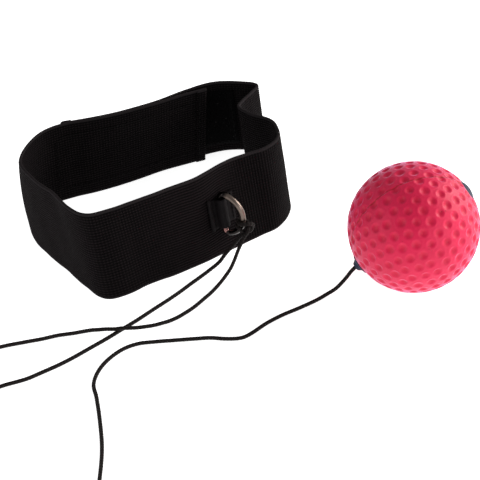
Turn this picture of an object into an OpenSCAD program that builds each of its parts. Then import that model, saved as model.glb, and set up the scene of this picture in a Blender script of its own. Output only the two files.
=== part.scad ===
// Reflex ball headband: an elastic strap closed with hook and loop, a ring sewn to its front,
// and a foam ball on a thin elastic cord that is looped through the ring.
// Millimetres, +Z up. The strap stands on its edge and the ball lies beside it.
// Origin: on the ground, at the middle of the strap and ball.

/* [Strap] */
// Width of the elastic strap
strap_w = 50; // [44:1:56]
// Thickness of the elastic strap
strap_t = 1.6; // [1.2:0.1:1.8]
// Length of the folded hem at each end of the strap
hem_l = 6; // [4:1:10]
// Thickness of the folded hem
hem_t = 1.2; // [0.8:0.1:1.4]

/* [Closure] */
// Height of the hook patch and the loop patch
patch_w = 38; // [30:1:42]
// Thickness of each patch
patch_t = 0.8; // [0.5:0.1:1]

/* [Ring and tab] */
// Width between the ring's ends, the size of tape it takes
ring_inner = 20; // [20:1:24]
// Thickness of the ring's wire
ring_wire = 3; // [2.4:0.2:3]
// Thickness of the sewn tab
tab_t = 1.2; // [0.8:0.1:1.4]
// Room between the ring's bar and the tab around it
tab_gap = 0.25; // [0.2:0.05:0.4]

/* [Ball] */
// Diameter of the foam ball
ball_d = 63; // [60:1:64]
// Radius of both caps
cap_r = 5.4;
// Outer radius of the tube through the ball
core_r = 3.8; // [3.6:0.1:4.4]

/* [Cord] */
// Diameter of the elastic cord
cord_d = 2; // [1.6:0.1:2]

/* [Hidden] */
$fn = 48;

// Strap: the outer layer lies this far outside the inner one, middle to middle
patch_gap = 0.5;
layer_step = strap_t + 2 * patch_t + patch_gap;
layer_face = strap_t / 2;
patch_edge = (strap_w - patch_w) / 2 / strap_w;

// Strap: stations along its length where pieces start and end
hinge_at = 385;
hinge_slit = 0.3;
loop_from = 5;
loop_to = 88;
hook_from = 389;
hook_to = 482;

// Stitches
stitch_l = 2.4;
stitch_pitch = 4;
stitch_w = 0.5;
stitch_in = 0.2;
stitch_out = 0.25;

// Ring: its bar stands on the strap, and its axis leans with the strap
bar_at = [-8.4, -15.2, 24.8];
bar_lean = [-4, -4, 0];
wall_turn = 36.5;
ring_turn = -31;
bar_off = 2;
ring_half = (ring_inner + ring_wire) / 2;
tab_low = -7.6;
tab_high = 9.2;
tab_left = -6.4;
tab_right = 8.4;
tab_sink = 0.4;
bow_hitch = -24;

// Ball: its core points up and away from the cord
ball_at = [81.9, -51.2];
core_tilt = 58.2;
core_turn = 7.1;
cap_seat = sqrt(pow(ball_d / 2, 2) - cap_r * cap_r) - 0.4;
cap_t = 1;
boss_h = 2.4;
boss_r = [2, 3.4];
dome_h = 1.6;
bore_r = 1.4;
knot_r = 2.2;
knot_room = 6;
knot_wall = 1;

// Coil: three turns beside each other, in two layers, with a tie round them
coil_at = [-84, -185];
coil_r = 11;
coil_turns = 3;
tie_w = 3;
tie_t = 0.5;
tie_gap = 0.25;
tie_turn = -100;
coil_low = tie_t + tie_gap;

// Plan of the strap from its inner end, round the left, the front and the right, to the back:
// x and y of the lower edge, then x and y of the upper edge.
STRAP_FREE = [
    [-16, 75, -11, 69], [-29, 71, -24, 65], [-41, 67, -36, 60], [-54, 61, -49, 55],
    [-66, 56, -61, 51], [-78, 52, -74, 48], [-90, 49, -87, 46],
    [-104, 43, -99, 40], [-111, 34, -106, 29], [-112, 23, -109, 17], [-108, 10, -108, 8],
    [-100, -3, -101, -5], [-89, -18, -91, -18], [-79, -33, -81, -34],
    [-70, -43, -73, -40], [-61, -42, -65, -39], [-49, -35, -53, -34], [-32, -28, -36, -26],
    [-17, -20, -20, -18], [-1, -10, -5, -6], [11, -3, 7, 0], [20, 2, 16, 4],
    [26, 12, 22, 11], [28, 22, 23, 20], [25, 33, 20, 30], [14, 44, 10, 39],
    [8, 50, 5, 46], [10, 58, 7, 52], [17, 67, 13, 61], [18, 76, 16, 68],
    [10, 80, 9, 72], [-5, 82, -7, 75], [-24, 77, -23, 70],
];

// Routes of the cord's free stretches, along the middle of the cord.
STRAND_A = [
    [-1, -24, 12.5], [-2.5, -27.5, 10], [-4.5, -31, 7.5], [-7, -35, 5], [-10, -38.5, 3],
    [-13.5, -43, 1.8], [-17.5, -48, 1.2], [-22, -53, 1], [-26.5, -58, 1], [-30.5, -61.5, 1],
    [-34.5, -64.5, 1], [-38.5, -67, 1.3], [-42, -69, 2], [-46, -71, 2.8], [-50, -72, 3.3],
    [-54, -72.3, 3.4], [-57.5, -72, 3.4], [-61.5, -71.5, 3.3], [-65, -71, 2.8], [-69, -69.5, 2],
    [-73, -68.5, 1.3], [-77, -68, 1], [-85, -69, 1], [-92.5, -69.5, 1], [-100, -71, 1],
    [-107.5, -72, 1], [-120, -74, 1], [-132, -78, 1], [-140, -86, 1], [-144, -98, 1],
    [-143, -112, 1], [-138, -126, 1], [-132, -139, 1.4],
];
STRAND_B = [
    [-3.2, -23.6, 13], [-5.5, -25.5, 11], [-9, -27.5, 8.5], [-12.5, -30.5, 6], [-17, -33, 4],
    [-22, -36, 2.4], [-27.5, -40, 1.4], [-33, -45, 1], [-39, -50.5, 1], [-46, -56.5, 1],
    [-54, -63.5, 1], [-61.5, -69.5, 1], [-69, -75.5, 1], [-76.5, -81, 1], [-84, -86.5, 1],
    [-91, -91, 1], [-98.5, -95, 1], [-105.5, -98.5, 1], [-117.5, -102, 1], [-125, -106, 1],
    [-130, -113, 1], [-132, -123, 1], [-131, -132, 1], [-129, -139, 1.4],
];
BALL_CORD = [
    [53, -54.8, 13.4], [51, -55.2, 11.5], [48.8, -55.6, 8.7], [46.1, -56.2, 5.8],
    [43, -57.1, 3.3], [38.5, -58.7, 1.7], [33, -61.8, 1.1], [24.1, -66.4, 1],
    [15.5, -70.5, 1], [7.5, -75.5, 1], [-0.5, -82, 1], [-5, -84.2, 1],
    [-12, -83.8, 1], [-19.5, -82, 1], [-27, -81.6, 1], [-38.5, -81.2, 1], [-46, -81, 1],
    [-54, -81.3, 1], [-61.5, -84.5, 1], [-68.5, -91.5, 1], [-72.5, -99, 1], [-74, -107, 1],
    [-72.5, -115, 1], [-70.5, -130, 1], [-69, -148, 1], [-69.5, -166, 1.1], [-71, -185, 1.75],
];
KNOT_LEAD = [
    [-97, -185, 3.75], [-97.5, -180, 3.2], [-100, -173, 1.6], [-107, -168, 1], [-115, -165, 1],
    [-122, -159, 1], [-127, -151, 1.2],
];
KNOT_AT = [-130, -144.5, 3];

// ---- Curves ----
function unit(v) = v / norm(v);
function ends(p, i, d) = p[min(max(i + d, 0), len(p) - 1)];
function heading(p, i) = unit(ends(p, i, 1) - ends(p, i, -1));
function between(a, b, da, db, u) =
    a * (2 * u * u * u - 3 * u * u + 1) + b * (3 * u * u - 2 * u * u * u)
    + norm(b - a) * (da * (u * u * u - 2 * u * u + u) + db * (u * u * u - u * u));
function curve(p, n) = [
    for (i = [0:len(p) - 2], k = [0:n - 1])
        between(p[i], p[i + 1], heading(p, i), heading(p, i + 1), k / n),
    p[len(p) - 1],
];

// Outward side of a level line from a to b
function side(a, b) = let (t = unit(b - a)) [t.y, -t.x];
// The outer layer repeats the inner layer's plan, one step outside it
function outside(p, i) = let (
    a = ends(p, i, -1),
    b = ends(p, i, 1),
    low = side([a[0], a[1]], [b[0], b[1]]),
    high = side([a[2], a[3]], [b[2], b[3]])
) p[i] + layer_step * [low.x, low.y, high.x, high.y];
STRAP = concat(STRAP_FREE, [for (i = [2:6]) outside(STRAP_FREE, i)]);

LINE = curve(STRAP, 4);
function middle(p) = [p[0] + p[2], p[1] + p[3]] / 2;
function stations(p, i = 0, s = 0, all = [0]) = i == len(p) - 1 ? all
    : let (next = s + norm(middle(p[i + 1]) - middle(p[i])))
      stations(p, i + 1, next, concat(all, [next]));
STATION = stations(LINE);
strap_l = STATION[len(STATION) - 1];
TABLE = [for (k = [0:3]) [for (i = [0:len(LINE) - 1]) [STATION[i], LINE[i][k]]]];
function plan(s) = [for (k = [0:3]) lookup(s, TABLE[k])];

// A point of the strap: s along it, out from its middle, and h from 0 at the lower edge to 1
function level(p, h) = [p[0] + (p[2] - p[0]) * h, p[1] + (p[3] - p[1]) * h];
function on_strap(s, out, h) = let (
    p = plan(s),
    n = side(level(plan(max(s - 1, 0)), h), level(plan(min(s + 1, strap_l)), h)),
    lean = norm([p[2] - p[0], p[3] - p[1]]),
    at = level(p, h)
) [at.x + n.x * out, at.y + n.y * out, h * sqrt(strap_w * strap_w - lean * lean)];

// Closed skin over rings of n points each
module skin(rings) {
    n = len(rings[0]);
    last = len(rings) - 1;
    polyhedron(
        points = [for (r = rings) each r],
        faces = concat(
            [[for (k = [0:n - 1]) k]],
            [for (i = [0:last - 1], k = [0:n - 1]) [i * n + k, (i + 1) * n + k, i * n + (k + 1) % n]],
            [for (i = [0:last - 1], k = [0:n - 1])
                [(i + 1) * n + k, (i + 1) * n + (k + 1) % n, i * n + (k + 1) % n]],
            [[for (k = [n - 1:-1:0]) last * n + k]]
        )
    );
}

// A piece that follows the strap from station s0 to s1, between two faces and two heights
module strip(s0, s1, face_a, face_b, h0 = 0, h1 = 1) {
    near = min(face_a, face_b);
    far = max(face_a, face_b);
    cuts = concat([s0], [for (s = STATION) if (s > s0 + 0.5 && s < s1 - 0.5) s], [s1]);
    skin([for (s = cuts) [
        on_strap(s, near, h0), on_strap(s, near, h1), on_strap(s, far, h1), on_strap(s, far, h0),
    ]]);
}

// Stitches along the strap at one height, and across it at one station
module stitch_row(s0, s1, face, h, way) {
    for (s = [s0:stitch_pitch:s1 - stitch_l])
        strip(s, s + stitch_l, face - way * stitch_in, face + way * stitch_out,
            h - stitch_w / strap_w / 2, h + stitch_w / strap_w / 2);
}
module stitch_column(s, face, h0, h1, way) {
    step = stitch_pitch / strap_w;
    for (h = [h0:step:h1 - stitch_l / strap_w])
        strip(s, s + stitch_w, face - way * stitch_in, face + way * stitch_out,
            h, h + stitch_l / strap_w);
}
module stitch_frame(s0, s1, face, way) {
    inset = 2;
    low = patch_edge + inset / strap_w;
    for (h = [low, 1 - low]) stitch_row(s0 + inset, s1 - inset, face, h, way);
    for (s = [s0 + inset, s1 - inset]) stitch_column(s, face, low + 0.04, 1 - low - 0.02, way);
}

// ---- Strap ----
module elastic_band() color([0.07, 0.065, 0.07]) strip(0, hinge_at, -layer_face, layer_face);
module band_tail() color([0.07, 0.065, 0.07])
    strip(hinge_at + hinge_slit, strap_l, -layer_face, layer_face);
module inner_end_hem() color([0.08, 0.075, 0.08]) strip(0, hem_l, -layer_face - hem_t, -layer_face);
module tail_hem() color([0.08, 0.075, 0.08])
    strip(strap_l - hem_l, strap_l, layer_face, layer_face + hem_t);
module inner_hem_stitches() color([0.03, 0.03, 0.03])
    stitch_column(hem_l - 1.5, -layer_face - hem_t, 0.05, 0.95, -1);
module tail_hem_stitches() color([0.03, 0.03, 0.03])
    stitch_column(strap_l - hem_l + 1, layer_face + hem_t, 0.05, 0.95, 1);

// ---- Closure ----
module loop_patch() color([0.05, 0.05, 0.055])
    strip(loop_from, loop_to, layer_face, layer_face + patch_t, patch_edge, 1 - patch_edge);
module hook_patch() color([0.04, 0.04, 0.045])
    strip(hook_from, hook_to, -layer_face - patch_t, -layer_face, patch_edge, 1 - patch_edge);
module loop_patch_stitches() color([0.03, 0.03, 0.03])
    stitch_frame(loop_from, loop_to, -layer_face, -1);
module hook_patch_stitches() color([0.03, 0.03, 0.03])
    stitch_frame(hook_from, hook_to, layer_face, 1);

// ---- Ring and tab ----
// Frame at the middle of the bar: z along the bar, x away from it at the given turn
module at_bar(turn) translate(bar_at) rotate(bar_lean) rotate([0, 0, turn]) children();

// The tab is an omega of tape: two sewn ends and a channel over the bar
module ring_tab() color([0.09, 0.085, 0.085]) at_bar(wall_turn) translate([0, 0, tab_low]) {
    room = ring_wire / 2 + tab_gap;
    crown = room + tab_t;
    linear_extrude(tab_high - tab_low) difference() {
        union() {
            translate([tab_left, bar_off - tab_t]) square([tab_right - tab_left, tab_t + tab_sink]);
            translate([-crown, 0]) square([2 * crown, bar_off]);
            circle(crown);
        }
        circle(room);
        translate([-room, 0]) square([2 * room, bar_off + tab_sink + 1]);
    }
}
module tab_stitches() color([0.03, 0.03, 0.03]) at_bar(wall_turn)
    for (x = [tab_left + 1.6, tab_right - 1.8], z = [tab_low + 1.4:3.6:tab_high - 3.2])
        translate([x, bar_off - tab_t - stitch_out, z])
            cube([stitch_w, stitch_out + stitch_in, stitch_l]);

// A straight bar with a half-round bow
module d_ring() color([0.42, 0.39, 0.37]) at_bar(ring_turn) {
    cylinder(d = ring_wire, h = 2 * ring_half, center = true);
    for (z = [-ring_half, ring_half]) translate([0, 0, z]) sphere(d = ring_wire);
    rotate([90, 0, 0]) rotate([0, 0, -90]) rotate_extrude(angle = 180)
        translate([ring_half, 0]) circle(d = ring_wire);
}

// Two turns of cord round the bow
module ring_hitch() color([0.09, 0.08, 0.08]) {
    beside = 2 * asin(cord_d / ring_half / 2);
    at_bar(ring_turn) rotate([90, 0, 0]) for (a = [-0.5, 0.5]) rotate([0, 0, bow_hitch + a * beside])
        translate([ring_half, 0, 0]) rotate([90, 0, 0])
            rotate_extrude() translate([(ring_wire + cord_d) / 2, 0]) circle(d = cord_d);
}

// ---- Cord ----
// Ring of points round the route at point i
function cord_ring(p, i, sides = 8) = let (
    t = heading(p, i),
    u = unit(cross([0, 0, 1], t)),
    v = cross(t, u)
) [for (k = [0:sides - 1]) p[i] + cord_d / 2 * (u * cos(k * 360 / sides) + v * sin(k * 360 / sides))];
module cord(route) color([0.09, 0.08, 0.08]) skin([for (i = [0:len(route) - 1]) cord_ring(route, i)]);

module loop_strand_a() cord(STRAND_A);
module loop_strand_b() cord(STRAND_B);
module ball_cord() cord(BALL_CORD);
module knot_lead() cord(KNOT_LEAD);
module loop_knot() color([0.09, 0.08, 0.08]) translate([KNOT_AT.x, KNOT_AT.y, 0]) rotate([0, 0, 110])
    translate([0, 0, KNOT_AT.z]) rotate([0, 90, 0]) cylinder(r = KNOT_AT.z, h = 9, center = true);
module cord_coil() color([0.09, 0.08, 0.08]) translate([coil_at.x, coil_at.y, coil_low])
    rotate_extrude() translate([coil_r - coil_turns * cord_d / 2, 0])
        square([coil_turns * cord_d, 2 * cord_d]);
module coil_tie() color([0.05, 0.05, 0.05]) translate([coil_at.x, coil_at.y, coil_low + cord_d])
    rotate([0, 0, tie_turn]) translate([coil_r, 0, 0]) difference() {
        across = coil_turns * cord_d + 2 * tie_gap;
        high = 2 * cord_d + 2 * tie_gap;
        cube([across + 2 * tie_t, tie_w, high + 2 * tie_t], center = true);
        cube([across, tie_w + 1, high], center = true);
    }

// ---- Ball ----
// Frame at the ball's centre: z along the core, towards the plain cap
module at_ball() translate([ball_at.x, ball_at.y, ball_d / 2]) rotate([0, core_tilt, core_turn])
    children();

module foam_ball() color([0.88, 0.16, 0.29]) at_ball() difference() {
    sphere(d = ball_d);
    cylinder(r = core_r, h = ball_d + 2, center = true);
    translate([0, 0, cap_seat]) cylinder(r = cap_r + 0.2, h = 3);
    translate([0, 0, -cap_seat - 3]) cylinder(r = cap_r + 0.2, h = 3);
}
module core_tube() color([0.75, 0.75, 0.75]) at_ball() difference() {
    cylinder(r = core_r, h = 2 * cap_seat, center = true);
    cylinder(r = bore_r, h = ball_d, center = true);
    translate([0, 0, cap_seat - knot_room]) cylinder(r = core_r - knot_wall, h = knot_room + 1);
}
module cord_cap() color([0.1, 0.13, 0.2]) at_ball() mirror([0, 0, 1]) translate([0, 0, cap_seat])
    difference() {
        union() {
            cylinder(r = cap_r, h = cap_t);
            translate([0, 0, cap_t]) cylinder(r1 = boss_r[1], r2 = boss_r[0], h = boss_h);
        }
        translate([0, 0, -1]) cylinder(r = bore_r, h = cap_t + boss_h + 2);
    }
module end_cap() color([0.1, 0.13, 0.2]) at_ball() translate([0, 0, cap_seat]) {
    dome_r = (cap_r * cap_r + dome_h * dome_h) / (2 * dome_h);
    rotate_extrude($fn = 96) intersection() {
        translate([0, dome_h - dome_r]) circle(dome_r, $fn = 360);
        square([cap_r + 1, dome_h + 1]);
    }
}
// The cord runs through the core to a knot behind the plain cap
knot_z = cap_seat - knot_room + knot_r + 0.4;
module inner_cord() color([0.09, 0.08, 0.08]) at_ball() {
    mouth = cap_seat + cap_t + boss_h;
    translate([0, 0, -mouth]) cylinder(d = cord_d, h = mouth + knot_z);
}
module stop_knot() color([0.09, 0.08, 0.08]) at_ball() translate([0, 0, knot_z]) sphere(knot_r);

elastic_band();
inner_end_hem();
inner_hem_stitches();
loop_patch();
loop_patch_stitches();
band_tail();
tail_hem();
tail_hem_stitches();
hook_patch();
hook_patch_stitches();
ring_tab();
tab_stitches();
d_ring();
ring_hitch();
loop_strand_a();
loop_strand_b();
loop_knot();
knot_lead();
cord_coil();
coil_tie();
ball_cord();
foam_ball();
core_tube();
cord_cap();
end_cap();
inner_cord();
stop_knot();
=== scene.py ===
"""Looks of the reflex ball headband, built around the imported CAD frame. In metres, +Z up, as in the CAD."""

import math
import random

import bmesh
import bpy
import numpy as np
from mathutils import Matrix, Vector


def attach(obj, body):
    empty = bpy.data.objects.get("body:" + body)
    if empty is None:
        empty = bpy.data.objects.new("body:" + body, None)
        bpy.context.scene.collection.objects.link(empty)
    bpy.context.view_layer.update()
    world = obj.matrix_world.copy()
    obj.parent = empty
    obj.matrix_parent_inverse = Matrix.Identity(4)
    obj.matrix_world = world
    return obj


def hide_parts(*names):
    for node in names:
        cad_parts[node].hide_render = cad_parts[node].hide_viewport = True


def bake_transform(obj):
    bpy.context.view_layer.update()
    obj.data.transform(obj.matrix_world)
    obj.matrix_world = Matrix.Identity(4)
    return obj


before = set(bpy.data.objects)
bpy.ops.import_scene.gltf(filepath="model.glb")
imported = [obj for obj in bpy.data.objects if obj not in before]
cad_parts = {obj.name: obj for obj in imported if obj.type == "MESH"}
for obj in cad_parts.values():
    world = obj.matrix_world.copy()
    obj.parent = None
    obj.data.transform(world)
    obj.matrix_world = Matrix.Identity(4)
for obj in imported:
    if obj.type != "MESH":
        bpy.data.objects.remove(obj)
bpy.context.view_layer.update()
scene = bpy.context.scene
random.seed(7)

# ---------------------------------------------------------------- Sizes shared with the CAD model
STRAP_W = 0.05
STRAP_T = 0.0016
HEM_L = 0.006
PATCH_W = 0.038
PATCH_T = 0.0008
LAYER_STEP = 0.0037
LAYER_FACE = STRAP_T / 2
PATCH_EDGE = (STRAP_W - PATCH_W) / 2
LOOP_FROM, LOOP_TO = 0.005, 0.088
HOOK_FROM, HOOK_TO = 0.389, 0.482
STITCH_L, STITCH_PITCH = 0.0024, 0.004
STITCH_STEP = STITCH_PITCH * 0.8
STITCH_INSET = 0.002

BAR_AT = Vector((-0.0084, -0.0152, 0.0248))
BAR_LEAN = math.radians(-4)
WALL_TURN = math.radians(36.5)
RING_TURN = math.radians(-31)
BAR_OFF = 0.002
RING_R = 0.0115
WIRE_R = 0.0015
TAB_T = 0.0012
TAB_LOW, TAB_HIGH = -0.0076, 0.0092
TAB_LEFT, TAB_RIGHT = -0.0064, 0.0084
TAB_ROOM = WIRE_R + 0.00025
HITCH_TURN = math.radians(-24)

BALL_R = 0.0315
BALL_AT = Vector((0.0819, -0.0512, BALL_R))
CORE_TILT = math.radians(58.2)
CORE_TURN = math.radians(7.1)
CAP_R = 0.0054
CAP_SEAT = math.sqrt(BALL_R**2 - CAP_R**2) - 0.0004
CAP_T = 0.001
BOSS_H = 0.0024
BOSS_R = (0.002, 0.0034)
DOME_H = 0.0016
CORE_R = 0.0038

CORD_R = 0.001
COIL_AT = Vector((-0.084, -0.185, 0))
COIL_LOW = 0.00075
COIL_MIDDLE_R = 0.011
TIE_TURN = math.radians(-100)
TIE_W = 0.003
TIE_T = 0.0005

# Plan of the strap: x, y of the lower edge, then x, y of the upper edge
STRAP_FREE = (
    (-0.016, 0.075, -0.011, 0.069), (-0.029, 0.071, -0.024, 0.065), (-0.041, 0.067, -0.036, 0.06),
    (-0.054, 0.061, -0.049, 0.055), (-0.066, 0.056, -0.061, 0.051), (-0.078, 0.052, -0.074, 0.048),
    (-0.09, 0.049, -0.087, 0.046), (-0.104, 0.043, -0.099, 0.04), (-0.111, 0.034, -0.106, 0.029),
    (-0.112, 0.023, -0.109, 0.017), (-0.108, 0.01, -0.108, 0.008), (-0.1, -0.003, -0.101, -0.005),
    (-0.089, -0.018, -0.091, -0.018), (-0.079, -0.033, -0.081, -0.034), (-0.07, -0.043, -0.073, -0.04),
    (-0.061, -0.042, -0.065, -0.039), (-0.049, -0.035, -0.053, -0.034), (-0.032, -0.028, -0.036, -0.026),
    (-0.017, -0.02, -0.02, -0.018), (-0.001, -0.01, -0.005, -0.006), (0.011, -0.003, 0.007, 0),
    (0.02, 0.002, 0.016, 0.004), (0.026, 0.012, 0.022, 0.011), (0.028, 0.022, 0.023, 0.02),
    (0.025, 0.033, 0.02, 0.03), (0.014, 0.044, 0.01, 0.039), (0.008, 0.05, 0.005, 0.046),
    (0.01, 0.058, 0.007, 0.052), (0.017, 0.067, 0.013, 0.061), (0.018, 0.076, 0.016, 0.068),
    (0.01, 0.08, 0.009, 0.072), (-0.005, 0.082, -0.007, 0.075), (-0.024, 0.077, -0.023, 0.07),
)
OVERLAP = range(2, 7)

# Routes of the cord, along its middle
STRAND_A = (
    (-0.001, -0.024, 0.0125), (-0.0025, -0.0275, 0.01), (-0.0045, -0.031, 0.0075), (-0.007, -0.035, 0.005),
    (-0.01, -0.0385, 0.003), (-0.0135, -0.043, 0.0018), (-0.0175, -0.048, 0.0012), (-0.022, -0.053, 0.001),
    (-0.0265, -0.058, 0.001), (-0.0305, -0.0615, 0.001), (-0.0345, -0.0645, 0.001),
    (-0.0385, -0.067, 0.0013), (-0.042, -0.069, 0.002), (-0.046, -0.071, 0.0028), (-0.05, -0.072, 0.0033),
    (-0.054, -0.0723, 0.0034), (-0.0575, -0.072, 0.0034), (-0.0615, -0.0715, 0.0033),
    (-0.065, -0.071, 0.0028), (-0.069, -0.0695, 0.002), (-0.073, -0.0685, 0.0013), (-0.077, -0.068, 0.001),
    (-0.085, -0.069, 0.001), (-0.0925, -0.0695, 0.001), (-0.1, -0.071, 0.001), (-0.1075, -0.072, 0.001),
    (-0.12, -0.074, 0.001), (-0.132, -0.078, 0.001), (-0.14, -0.086, 0.001), (-0.144, -0.098, 0.001),
    (-0.143, -0.112, 0.001), (-0.138, -0.126, 0.001), (-0.132, -0.139, 0.0014),
)
STRAND_B = (
    (-0.0032, -0.0236, 0.013), (-0.0055, -0.0255, 0.011), (-0.009, -0.0275, 0.0085),
    (-0.0125, -0.0305, 0.006), (-0.017, -0.033, 0.004), (-0.022, -0.036, 0.0024), (-0.0275, -0.04, 0.0014),
    (-0.033, -0.045, 0.001), (-0.039, -0.0505, 0.001), (-0.046, -0.0565, 0.001), (-0.054, -0.0635, 0.001),
    (-0.0615, -0.0695, 0.001), (-0.069, -0.0755, 0.001), (-0.0765, -0.081, 0.001),
    (-0.084, -0.0865, 0.001), (-0.091, -0.091, 0.001), (-0.0985, -0.095, 0.001), (-0.1055, -0.0985, 0.001),
    (-0.1175, -0.102, 0.001), (-0.125, -0.106, 0.001), (-0.13, -0.113, 0.001), (-0.132, -0.123, 0.001),
    (-0.131, -0.132, 0.001), (-0.129, -0.139, 0.0014),
)
BALL_CORD = (
    (0.053, -0.0548, 0.0134), (0.051, -0.0552, 0.0115), (0.0488, -0.0556, 0.0087), (0.0461, -0.0562, 0.0058),
    (0.043, -0.0571, 0.0033), (0.0385, -0.0587, 0.0017), (0.033, -0.0618, 0.0011), (0.0241, -0.0664, 0.001),
    (0.0155, -0.0705, 0.001), (0.0075, -0.0755, 0.001),
    (-0.0005, -0.082, 0.001), (-0.005, -0.0842, 0.001), (-0.012, -0.0838, 0.001), (-0.0195, -0.082, 0.001),
    (-0.027, -0.0816, 0.001), (-0.0385, -0.0812, 0.001), (-0.046, -0.081, 0.001), (-0.054, -0.0813, 0.001),
    (-0.0615, -0.0845, 0.001), (-0.0685, -0.0915, 0.001), (-0.0725, -0.099, 0.001),
    (-0.074, -0.107, 0.001), (-0.0725, -0.115, 0.001), (-0.0705, -0.13, 0.001), (-0.069, -0.148, 0.001),
    (-0.0695, -0.166, 0.0011),
)
KNOT_LEAD = (
    (-0.0975, -0.18, 0.0032), (-0.1, -0.173, 0.0016), (-0.107, -0.168, 0.001), (-0.115, -0.165, 0.001),
    (-0.122, -0.159, 0.001), (-0.127, -0.151, 0.0012),
)
KNOT_AT = Vector((-0.13, -0.1445, 0.003))
KNOT_TURN = math.radians(110)


# ---------------------------------------------------------------- Shader helpers
class Value:
    """A number worked out by shader nodes: arithmetic on it adds Math nodes."""

    def __init__(self, nodes, socket):
        self.nodes = nodes
        self.socket = socket

    def __add__(self, other):
        return self.nodes.math("ADD", self, other)

    def __sub__(self, other):
        return self.nodes.math("SUBTRACT", self, other)

    def __rsub__(self, other):
        return self.nodes.math("SUBTRACT", other, self)

    def __mul__(self, other):
        return self.nodes.math("MULTIPLY", self, other)

    def __pow__(self, other):
        return self.nodes.math("POWER", self, other)

    def cosine(self):
        return self.nodes.math("COSINE", self)

    def clamped(self):
        self.socket.node.use_clamp = True
        return self

    def wave(self, pitch):
        """0 to 1 and back once every pitch."""
        return (self * (2 * math.pi / pitch)).cosine() * 0.5 + 0.5

    def faded(self, share):
        """The pattern faded towards 1: share is how much of it stays."""
        return 1.0 - (1.0 - self) * share

    def ramp(self, low, high):
        """0 at low and 1 at high, smooth in between."""
        node = self.nodes.add("ShaderNodeMapRange", {"interpolation_type": "SMOOTHSTEP"},
                              Value=self, From_Min=low, From_Max=high)
        return Value(self.nodes, node.outputs[0])

    def zone(self, start, full, fade, end):
        """1 from full to fade, and 0 before start and after end."""
        return self.ramp(start, full) * self.ramp(end, fade)


class Nodes:
    """A material's node tree, with a short way to add and join nodes."""

    def __init__(self, name):
        self.material = bpy.data.materials.new(name)
        self.material.use_nodes = True
        self.tree = self.material.node_tree
        self.shader = self.tree.nodes["Principled BSDF"]

    def add(self, kind, settings=None, **inputs):
        node = self.tree.nodes.new(kind)
        for key, value in (settings or {}).items():
            setattr(node, key, value)
        for key, value in inputs.items():
            self.put(node.inputs[int(key[1:]) if key[1:].isdigit() else key.replace("_", " ")], value)
        return node

    def put(self, socket, value):
        """Joins a node to a socket, or sets it to a number or an (r, g, b) colour."""
        if isinstance(value, Value):
            value = value.socket
        if isinstance(value, bpy.types.NodeSocket):
            self.tree.links.new(value, socket)
        else:
            socket.default_value = (*value, 1) if isinstance(value, tuple) else value

    def math(self, operation, a, b=0.0):
        return Value(self, self.add("ShaderNodeMath", {"operation": operation}, i0=a, i1=b).outputs[0])

    def mix(self, share, a, b):
        node = self.add("ShaderNodeMix", {"data_type": "RGBA"})
        self.put(node.inputs["Factor"], share)
        self.put(node.inputs[6], a)
        self.put(node.inputs[7], b)
        return node.outputs[2]

    def noise(self, vector, scale, detail):
        node = self.add("ShaderNodeTexNoise", Vector=vector, Scale=scale, Detail=detail, Roughness=0.55)
        return Value(self, node.outputs[0])

    def bump(self, height, distance):
        return self.add("ShaderNodeBump", Height=height, Distance=distance, Strength=1.0).outputs[0]

    def along(self):
        """The piece's own map, whole and as two values: on most pieces, length along and distance across."""
        node = self.add("ShaderNodeUVMap", {"uv_map": "along"})
        split = self.add("ShaderNodeSeparateXYZ", Vector=node.outputs[0])
        return node.outputs[0], Value(self, split.outputs[0]), Value(self, split.outputs[1])

    def place(self):
        return self.add("ShaderNodeTexCoord").outputs["Object"]

    def set(self, **inputs):
        for key, value in inputs.items():
            self.put(self.shader.inputs[key.replace("_", " ")], value)
        return self.material


# ---------------------------------------------------------------- Materials
RIB = 0.0015
RIB_EDGE = 0.001
COURSE = 0.00155
SELVAGE_IN, SELVAGE_OUT = 0.0016, 0.0010
BRAID_PITCH = 0.0032

# Stretches of the strap where its knit looks different, in metres along it: start, full, fade, end
BY_TAB = (0.222, 0.246, 0.268, 0.285)
# On the right bend and the left face the knit is also darkened with painted shade.
RIGHT_BEND = (0.268, 0.285, 0.316, 0.33)
LEFT_FACE = (0.11, 0.125, 0.185, 0.205)

# Stretches of the ring's wire where highlights are painted on, as shares of the way round it
PAINTED_BOW_HIGHLIGHT = (0.30, 0.34, 0.62, 0.66)
PAINTED_ROSE_HIGHLIGHT = (0.285, 0.30, 0.32, 0.36)


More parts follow.
